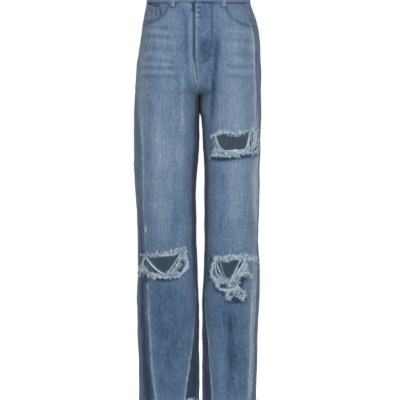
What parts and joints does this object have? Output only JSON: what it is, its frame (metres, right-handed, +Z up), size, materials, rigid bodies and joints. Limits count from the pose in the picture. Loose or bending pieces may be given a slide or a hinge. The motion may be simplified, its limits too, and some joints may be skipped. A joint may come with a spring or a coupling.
{
  "type": "ripped jeans",
  "caption": "High-rise wide-leg denim jeans with frayed rips at thigh and knees, raw frayed hems, filled out and hollow.",
  "frame": {"origin": "middle of the waist opening, level with the top edge of the waistband", "axes": "+Z up towards the waist, -Y out of the front, +X towards the wearer's left"},
  "size_m": [0.3306, 0.232, 1.0808],
  "materials": {
    "denim": "washed cotton twill, faded blue, matte",
    "pocket_denim": "washed cotton twill, less faded, matte",
    "thread": "loose pale cotton threads, matte",
    "stitching": "tan sewing thread, worn",
    "button_metal": "aged tack button, satin"
  },
  "bodies": {
    "root": {"back_left": "denim", "back_pocket_left": "denim", "back_pocket_right": "denim", "back_right": "denim", "belt_loop_back_left": "denim", "belt_loop_back_right": "denim", "belt_loop_centre_back": "denim", "belt_loop_front_left": "denim", "belt_loop_front_right": "denim", "button": "button_metal", "coin_pocket": "denim", "fly_piece": "pocket_denim", "fray_knee_left": "thread", "fray_knee_right": "thread", "fray_thigh": "thread", "front_left": "denim", "front_right": "denim", "hem_fringe_left": "thread", "hem_fringe_right": "thread", "pocket_facing_left": "pocket_denim", "pocket_facing_right": "pocket_denim", "waistband": "denim", "yoke_left": "denim", "yoke_right": "denim"}
  },
  "joints": []
}
